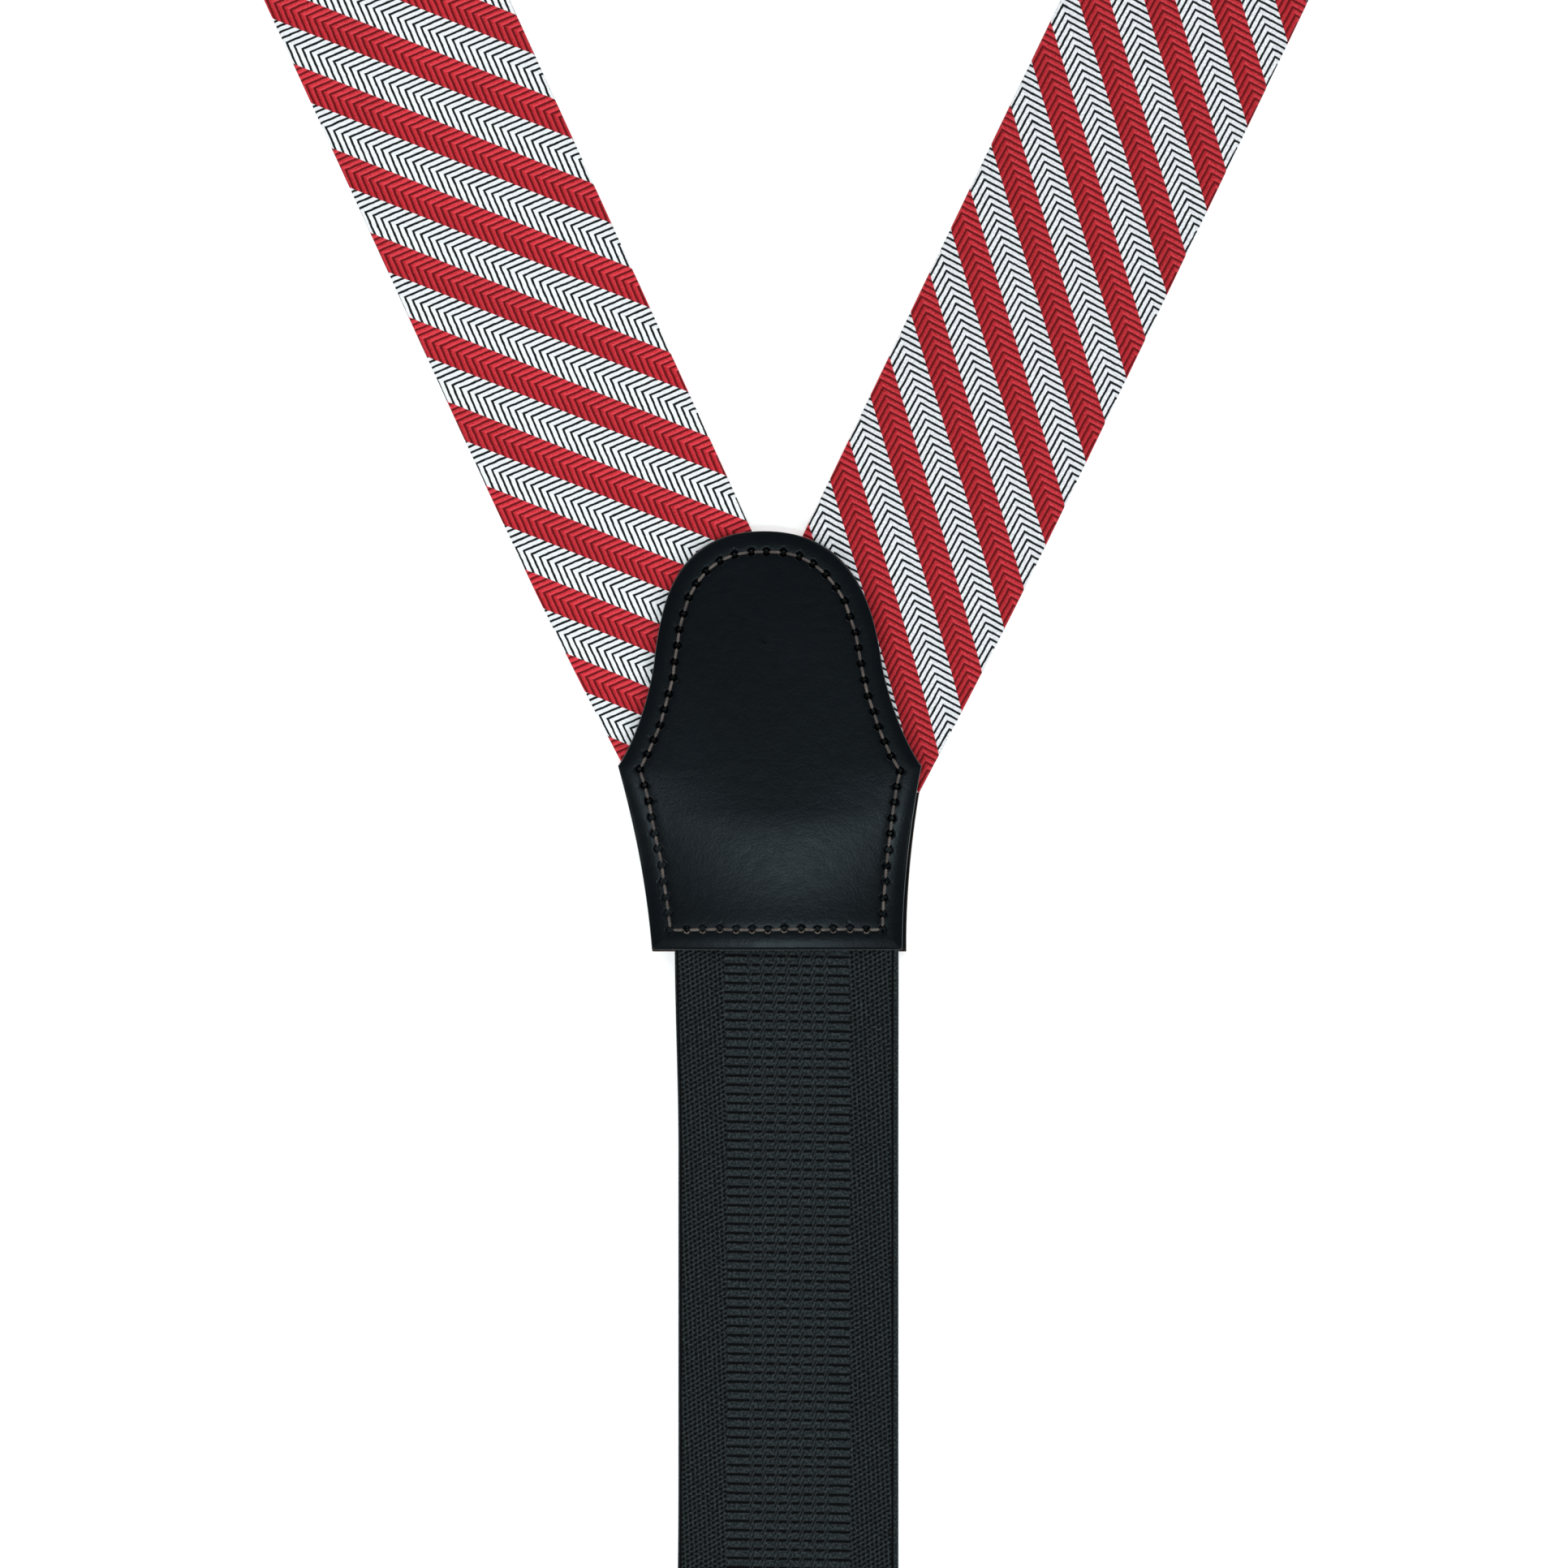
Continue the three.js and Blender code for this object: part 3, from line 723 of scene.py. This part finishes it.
TAIL_START_Y = LOW_BAR_Y + 1.6 * MM  # where the return run ends, by the low bar
HEM = 6 * MM  # the short run past the ring's turn that goes with the ring
RETURN_THICK = RIBBON_THICK * THIN
HALF_TURN = math.pi * (TURN_RADIUS + RETURN_THICK / 2)  # at half the thickness
ALONG_X = Vector((1, 0, 0))


def make_runs(side):
    """A side's ribbon and lining, from the patch over the shoulder to the front ring."""
    seam_s = s_at_y(side, ADJUSTER_Y)
    ring_s = s_at_y(side, FRONT_RING_Y)

    for part, raise_by, width, thickness, material in (
        ("lining", 0.0, LINING_WIDTH, LINING_THICK, LINING),
        ("ribbon", LINING_THICK, STRAP_WIDTH, RIBBON_THICK - LINING_THICK, RIBBON[side]),
    ):
        crown = 0.06 * MM if part == "ribbon" else 0.0
        stations = ribbon_stations(side, 0, seam_s, raise_by)
        long_run = strap(f"{side}_{part}", stations, width, thickness, material, crown)
        mitre(long_run, side)
        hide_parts(f"{side}_{part}_back")
        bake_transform(long_run)
        stations = ribbon_stations(side, seam_s, ring_s, raise_by)
        short_run = strap(f"{side}_{part}_to_ring", stations, width, thickness, material, crown)
        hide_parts(f"{side}_{part}_front")
        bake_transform(short_run)


def make_return(side):
    """The ribbon's turn round the ring, face outwards, and its run back to the adjuster."""
    x = FRONT_X[side]
    ring_s = s_at_y(side, FRONT_RING_Y)
    front, end = f"{side}_front", f"{side}_end"
    centre = Vector((x, FRONT_RING_Y, FRONT_RING_Z))
    below = centre - UP * TURN_RADIUS

    turn_length = HALF_TURN + HEM
    stations = []
    for i in range(13):
        angle = math.pi / 2 - math.pi * i / 12
        out = Vector((0, math.cos(angle), math.sin(angle)))
        stations.append((centre + out * TURN_RADIUS, ALONG_X, out, 1.0, HALF_TURN * i / 12))
    stations.append((below - Vector((0, HEM, 0)), ALONG_X, -UP, 1.0, turn_length))
    start_v = ring_s / MM
    turn = strap(f"{side}_ring_turn", stations, STRAP_WIDTH, RETURN_THICK, RIBBON[side], 0.0, start_v)
    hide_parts(f"{side}_ribbon_return")
    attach(turn, end)

    # The run's far end follows the ring, which moves half as far as the adjuster, and its
    # near end the adjuster. It stretches, where the real ribbon would run round the ring.
    half_way = FRONT_RING_Y - HEM
    run = half_way - TAIL_START_Y
    stations = []
    for i in range(25):
        point = below - Vector((0, HEM + run * i / 24, 0))
        stations.append((point, ALONG_X, -UP, 1.0, run * i / 24))
    start_v = (ring_s + turn_length) / MM
    piece = strap(f"{side}_return_run", stations, STRAP_WIDTH, RETURN_THICK, RIBBON[side], 0.0, start_v)
    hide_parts(f"{side}_ribbon_return")
    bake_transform(piece)
    return turn_length + run


def make_tail(side, returned):
    """The last of the ribbon, round the adjuster's low bar and sewn down on itself.

    returned is the ribbon's length from the ring to here, which its stripes carry on from.
    """
    x = FRONT_X[side]
    bar_z = 1.7 * MM
    wrap = 0.95 * MM  # from the bar's axis to the ribbon's inner face
    thin = 0.75 * MM
    turn_y = LOW_BAR_Y - 0.55 * MM
    turned_back = 24 * MM
    resting_z = 1.05 * MM  # its underside where it lies on the return run

    stations, travelled = [], 0.0
    for i in range(4):
        y = TAIL_START_Y + (turn_y - TAIL_START_Y) * i / 3
        stations.append((Vector((x, y, bar_z - wrap)), ALONG_X, -UP, 1.0, travelled))
        travelled += 0.7 * MM
    for i in range(1, 11):
        angle = -math.pi / 2 - math.pi * i / 10
        out = Vector((0, math.cos(angle), math.sin(angle)))
        travelled += math.pi * wrap / 10
        stations.append((Vector((x, turn_y, bar_z)) + out * wrap, ALONG_X, out, 1.0, travelled))
    for i in range(1, 13):
        y = turn_y + turned_back * i / 12
        z = bar_z + wrap - (bar_z + wrap - resting_z) * smooth(i / 12, 0.05, 0.55)
        travelled += turned_back / 12
        stations.append((Vector((x, y, z)), ALONG_X, UP, 1.0, travelled))
    start_v = (s_at_y(side, FRONT_RING_Y) + returned) / MM
    piece = strap(f"{side}_ribbon_tail", stations, STRAP_WIDTH - 1 * MM, thin, RIBBON[side], 0.0, start_v)
    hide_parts(f"{side}_ribbon_end")
    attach(piece, f"{side}_adjuster")

    seam_z = 1.85 * MM
    places = ((turn_y + 15 * MM, seam_z), (turn_y + 18 * MM, seam_z))
    seam = stitched_rows(f"{side}_tail_stitches", x, places, 0.2 * MM)
    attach(seam, f"{side}_adjuster")


for side in SIDES:
    make_runs(side)
    make_tail(side, make_return(side))


# ---- elastic ------------------------------------------------------------------------

ELASTIC_THICK = 1.15 * MM
ELASTIC_TOP = FOOT.y + 25 * MM
ELASTIC_FOLD = REAR_RING_Z - 1.2 * MM  # from the rear ring bar's axis to the elastic's inner face


def elastic_rise(y):
    """How far the elastic is lifted where it nears the ring."""
    return (REAR_RING_Z + ELASTIC_FOLD) * (1 - smooth(y, REAR_RING_Y + 5 * MM, REAR_RING_Y + 45 * MM))


def make_elastic():
    """The elastic, from under the patch to the rear ring, and its end turned round the ring."""
    down = Vector((-1, 0, 0))
    stations = []
    length = ELASTIC_TOP - REAR_RING_Y
    for i in range(91):
        s = length * i / 90
        y = ELASTIC_TOP - s
        on_patch = ON_LINING * smooth(y, FOOT.y - 30 * MM, FOOT.y - 3 * MM)
        stations.append((Vector((elastic_x, y, on_patch + elastic_rise(y))), down, UP, 1.0, s))
    run = strap("elastic", stations, STRAP_WIDTH, ELASTIC_THICK, ELASTIC)

    # its left edge comes in a little between the patch and the ring
    right_edge = elastic_x + STRAP_WIDTH / 2
    for vertex in run.data.vertices:
        narrower = 0.6 * MM * smooth(ELASTIC_TOP - vertex.co.y, 22 * MM, 60 * MM)
        narrower *= smooth(vertex.co.y - REAR_RING_Y, 0, 60 * MM)
        vertex.co.x += narrower * (right_edge - vertex.co.x) / STRAP_WIDTH
    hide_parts("elastic_strap")
    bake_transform(run)

    centre = Vector((elastic_x, REAR_RING_Y, REAR_RING_Z))
    half_turn = math.pi * (ELASTIC_FOLD + ELASTIC_THICK / 2)
    turned_back = 28 * MM
    stations = []
    for i in range(13):
        angle = math.pi / 2 - math.pi * i / 12
        out = Vector((0, -math.cos(angle), math.sin(angle)))
        stations.append((centre + out * ELASTIC_FOLD, down, out, 1.0, half_turn * i / 12))
    for i in range(1, 13):
        point = centre + Vector((0, turned_back * i / 12, -ELASTIC_FOLD))
        stations.append((point, down, -UP, 1.0, half_turn + turned_back * i / 12))
    fold = strap("elastic_fold", stations, STRAP_WIDTH, ELASTIC_THICK, ELASTIC, 0.0, length / MM)
    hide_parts("elastic_end")
    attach(fold, "rear_end")

    places = []
    for y in (REAR_RING_Y + 21 * MM, REAR_RING_Y + 24 * MM):
        places.append((y, elastic_rise(y) + ELASTIC_THICK + 0.1 * MM))
    seam = stitched_rows("elastic_fold_stitches", elastic_x, places, 0.22 * MM)
    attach(seam, "rear_end")


make_elastic()


# ---- back patch ---------------------------------------------------------------------

def bezier(points, count):
    """count points along a Bezier curve of any order, its end left out."""
    result = []
    for i in range(count):
        level = [Vector(p) for p in points]
        t = i / count
        while len(level) > 1:
            level = [a.lerp(b, t) for a, b in zip(level, level[1:])]
        result.append(level[0])
    return result


PATCH_SHIFT = 0.25  # mm, to the left
PATCH_LEAN = 0.037  # mm to the left for each mm up
CORNER_Y = 31.25  # mm, where the bell's straight sides end
CORNER_SHARE = 0.65
TRIM_FADE = 25  # mm above the corners over which the trim fades out


def trim_share(x, y):
    """How much of the trim a point moves: all at the right foot, none at the left one,
    CORNER_SHARE at both corners, and less above them."""
    up = min(y / CORNER_Y, 1)
    share = 1 + (CORNER_SHARE - 1) * up if x > 0 else CORNER_SHARE * up
    return share * max(0, 1 - max(0, y - CORNER_Y) / TRIM_FADE)


def patch_sides(trim):
    """The bell's outline anticlockwise from its left foot, as four lines of points in millimetres.

    trim is how far the right foot is cut in, and the corners above lean left with it.
    """
    right_side = [[(21.65, 0), (22.1, 15), (25.75, CORNER_Y)]]
    right_bell = [
        [(25.75, CORNER_Y), (22.6, 35.7), (20.15, 43.5), (19.35, 48.5)],
        [(19.35, 48.5), (18, 59.2), (15, 71.1), (0, 71.1)],
    ]
    left_bell, left_side = (
        [[(-x, y) for x, y in reversed(curve)] for curve in reversed(group)]
        for group in (right_bell, right_side)
    )
    sides = []
    for group in ([[(-21.65, 0), (21.65, 0)]], right_side, right_bell + left_bell, left_side):
        line = []
        for curve in group:
            line += bezier(curve, 40)
        line.append(Vector(group[-1][-1]))
        placed = []
        for p in line:
            moved_left = PATCH_SHIFT + PATCH_LEAN * p.y + trim * trim_share(p.x, p.y)
            placed.append(Vector((p.x - moved_left, p.y)))
        sides.append(placed)
    return sides


def spaced(line, count):
    """count + 1 points spaced evenly along a line of points, ends included."""
    lengths = [0.0]
    for a, b in zip(line, line[1:]):
        lengths.append(lengths[-1] + (b - a).length)
    result, i = [], 0
    for k in range(count + 1):
        goal = lengths[-1] * k / count
        while i < len(line) - 2 and lengths[i + 1] < goal:
            i += 1
        part = (goal - lengths[i]) / max(lengths[i + 1] - lengths[i], 1e-9)
        result.append(line[i].lerp(line[i + 1], min(part, 1)))
    return result


def offset(line, distance):
    """An open line of points moved to its left."""
    moved = []
    for i, point in enumerate(line):
        run = line[min(i + 1, len(line) - 1)] - line[max(i - 1, 0)]
        moved.append(point + Vector((-run.y, run.x)).normalized() * distance)
    return moved


def crossing(before, after):
    """(i, j, point) where the end part of one line first meets the start part of the next."""
    for i in range(len(before) - 2, -1, -1):
        for j in range(len(after) - 1):
            met = intersect_line_line_2d(before[i], before[i + 1], after[j], after[j + 1])
            if met is not None:
                return i, j, met
    return len(before) - 2, 0, before[-1]


def inset_sides(sides, distance):
    """The outline's sides moved inwards and cut where they meet."""
    moved = [offset(side, distance) for side in sides] if distance else sides
    meets = [crossing(moved[k - 1], moved[k]) for k in range(len(moved))]
    result = []
    for k, line in enumerate(moved):
        _, first, start = meets[k]
        last, _, end = meets[(k + 1) % len(moved)]
        result.append([start] + line[first + 1:last + 1] + [end])
    return result


STITCH_INSET = 3.5  # mm from the outline
CELLS_PER_STITCH = 12
NO_HOLE = 9  # mm, stands for being far from any hole or edge


def patch_ring(sides, stitches, distance):
    """A closed ring of points at a distance inside the outline, in step with the stitches."""
    ring = []
    for line, count in zip(inset_sides(sides, distance), stitches):
        ring += spaced(line, count * CELLS_PER_STITCH)[:-1]
    return ring


def length_of(line):
    return sum((b - a).length for a, b in zip(line, line[1:]))


def patch_relief(x, y, inset_by, to_hole):
    """Height of the outer leather's top over its flat level, in mm."""
    slump = -0.7 * smooth(-y, -24, -7)
    dome = -0.95 * (x / 20) ** 2 * smooth(-y, -32, -12)
    groove = -0.07 * math.exp(-((inset_by - STITCH_INSET) / 0.7) ** 2)
    border = -0.1 * smooth(-inset_by, -1.6, -0.3)
    pit = -1.2 * smooth(-to_hole, -0.72, -0.54)
    return slump + dome + groove + border + pit


def flat(x, y, inset_by, to_hole):
    """The relief of a leather that is level on top."""
    return 0.0


def patch_block(name, shift, trim, low_z, high_z, insets, relief, material):
    """A bell-shaped piece of leather: rings from its underside over its edge to a spine on top."""
    sides = patch_sides(trim)
    stitches = [round(length_of(line) / STITCH_PITCH) for line in inset_sides(sides, STITCH_INSET)]
    holes = patch_ring(sides, stitches, STITCH_INSET)[::CELLS_PER_STITCH]
    hand = random.Random(4)
    holes = [h + Vector((hand.uniform(-0.1, 0.1), hand.uniform(-0.1, 0.1))) for h in holes]
    inner = patch_ring(sides, stitches, insets[-1])
    spine = [Vector((-PATCH_SHIFT - PATCH_LEAN * p.y, min(max(p.y, 17), 52))) for p in inner]
    origin = FOOT / MM + Vector((*shift, 0))
    count = len(inner)

    rings = []
    for distance, lift in ((1.2, 0.0), (0.25, 0.02), (0.0, 0.25)):
        ring = patch_ring(sides, stitches, distance)
        levels = [low_z + relief(p.x, p.y, NO_HOLE, NO_HOLE) * 0.5 + lift for p in ring]
        rings.append([Vector((p.x, p.y, level)) for p, level in zip(ring, levels)])
    for distance in insets:
        roll = 1 - min(distance, 0.5) / 0.5
        edge = 0.4 * (1 - math.sqrt(1 - roll ** 2))
        ring = []
        for p in patch_ring(sides, stitches, distance):
            to_hole = min((p - hole).length for hole in holes) if 2.6 < distance < 4.4 else NO_HOLE
            ring.append(Vector((p.x, p.y, high_z + relief(p.x, p.y, distance, to_hole) - edge)))
        rings.append(ring)
    for share in (0.1, 0.22, 0.36, 0.52, 0.68, 0.84, 1.0):
        ring = [a.lerp(b, share) for a, b in zip(inner, spine)]
        rings.append([Vector((p.x, p.y, high_z + relief(p.x, p.y, NO_HOLE, NO_HOLE))) for p in ring])

    points = [(origin + p) * MM for ring in rings for p in ring]
    faces = []
    for i in range(len(rings) - 1):
        for j in range(count):
            k = (j + 1) % count
            faces.append((i * count + j, i * count + k, (i + 1) * count + k, (i + 1) * count + j))
    faces.append(tuple(reversed(range(count))))
    uvs = [[(points[n].x / MM, points[n].y / MM) for n in face] for face in faces]
    leather = mesh_object(name, points, faces, uvs, material)
    merge_doubles(leather)
    mark_leather(leather, holes if relief is patch_relief else (), FOOT)
    return leather, holes


FOOT_STITCHES = 13
HOLE_RUN = 0.52  # mm from a hole's middle to where its thread goes in


def hole_loop(hole, z):
    """A thread that shows as a crescent round the lower rim of a stitch hole."""
    path = []
    for i in range(9):
        angle = math.radians(200 + 140 * i / 8)
        reach = 0.5 + 0.06 * math.sin(math.pi * i / 8)
        lift = 0.12 * math.sin(math.pi * i / 8) - 0.05
        spot = Vector((hole.x + reach * math.cos(angle), hole.y + reach * math.sin(angle), z + lift))
        path.append(FOOT + spot * MM)
    return tube(path, 0.12 * MM)


def make_patch():
    insets = [0, 0.03, 0.1, 0.22, 0.4, 0.6, 0.95, 1.5, 2.1, 2.5]
    insets += [2.75 + 0.125 * i for i in range(13)] + [4.6, 5.2]
    top_z = patch_high.z / MM
    patch, holes = patch_block(
        "back_patch", (0, 0), 0.7, patch_low.z / MM, top_z, insets, patch_relief, LEATHER,
    )
    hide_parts("back_patch_outer")
    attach(patch, "back")

    inner, _ = patch_block(
        "back_patch_inner", (0.0, -0.35), 0.0, 0.0, 1.2, (0, 0.1, 0.4, 0.9, 2.5), flat, BACKING,
    )
    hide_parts("back_patch_lining")
    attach(inner, "back")

    threads = []
    for a, b in zip(holes, holes[1:] + holes[:1]):
        run = (b - a).normalized() * HOLE_RUN
        ends = []
        for p in (a + run, b - run):
            z = top_z + patch_relief(p.x, p.y, STITCH_INSET, NO_HOLE)
            ends.append(FOOT + Vector((p.x, p.y, z)) * MM)
        threads.append(stitch(*ends, 0.1 * MM, 0.5 * MM, 0.24 * MM))
    for hole in holes[1:FOOT_STITCHES]:
        z = top_z + patch_relief(hole.x, hole.y, STITCH_INSET, NO_HOLE)
        threads.append(hole_loop(hole, z))
    seam = joined("back_patch_stitches", threads, THREAD)
    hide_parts("back_patch_thread")
    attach(seam, "back")


make_patch()


# ---- tabs ---------------------------------------------------------------------------

def tab_outline():
    """The tab's outline in mm from the ring's far bar: down the left edge, round both legs and back."""
    right = bezier([(17, 0), (17, 10)], 8)
    right += bezier([(17, 10), (17, 34), (38.5, 30), (38.5, 52)], 40)
    right += bezier([(38.5, 52), (38.5, 66)], 12)
    for i in range(24):
        angle = -math.pi * i / 24
        right.append(Vector((30 + 8.5 * math.cos(angle), 66 - 8.5 * math.sin(angle))))
    right += bezier([(21.5, 66), (21.5, 54)], 10)
    right += bezier([(21.5, 54), (21.5, 44), (12, 35), (0, 35)], 32)
    left = [Vector((-p.x, p.y)) for p in reversed(right)]
    return right + [Vector((0, 35))] + left


TAB_STITCH_START = 22.5  # mm from the ring's far bar, where the two leathers begin to overlap
TAB_STITCH_INSET = 2.6
TAB_FACE_Z = 2.12 * MM


def tab_seam(name, bar_x, bar_y, direction, body):
    """Stitches that follow the tab's outline, a little inside it."""
    line = [p for p in offset(tab_outline(), TAB_STITCH_INSET) if p.y > TAB_STITCH_START]
    count = round(length_of(line) / STITCH_PITCH)
    holes = [
        Vector((bar_x + direction * p.x * MM, bar_y + direction * p.y * MM, TAB_FACE_Z))
        for p in spaced(line, count)
    ]
    threads = []
    for a, b in zip(holes, holes[1:]):
        run = (b - a).normalized() * 0.4 * MM
        threads.append(stitch(a + run, b - run, 0.12 * MM, 0.4 * MM, 0.24 * MM))
    seam = joined(f"{name}_stitches", threads, THREAD)
    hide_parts(f"{name}_thread")
    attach(seam, body)


for side in SIDES:
    tab_seam(f"{side}_tab", FRONT_X[side], FRONT_RING_Y + RING_INNER, 1, f"{side}_tab")
tab_seam("rear_tab", elastic_x, REAR_RING_Y - RING_INNER, -1, "rear_tab")


# ---- pieces kept from CAD -----------------------------------------------------------

def finish_with(node, material, bevel):
    """Gives a CAD node its material and softens its edges."""
    for item in node.material_slots:
        item.material = material
    soften = node.modifiers.new("soft_edges", "BEVEL")
    soften.width = bevel
    soften.segments = 3
    soften.limit_method = "ANGLE"
    soften.angle_limit = math.radians(40)


for name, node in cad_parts.items():
    if "tab_outer" in name:
        finish_with(node, LEATHER, 0.25 * MM)
    elif "tab_lining" in name:
        finish_with(node, BACKING, 0.2 * MM)
    elif "adjuster" in name or name.endswith("_ring"):
        finish_with(node, BRASS, 0.2 * MM)


# ---- floor --------------------------------------------------------------------------

def make_floor():
    reach, level = 3.0, -0.05 * MM
    corners = ((-1, -1), (1, -1), (1, 1), (-1, 1))
    points = [Vector((reach * x, reach * y, level)) for x, y in corners]
    floor = mesh_object("floor", points, [(0, 1, 2, 3)], [[(0, 0)] * 4], floor_material())


make_floor()
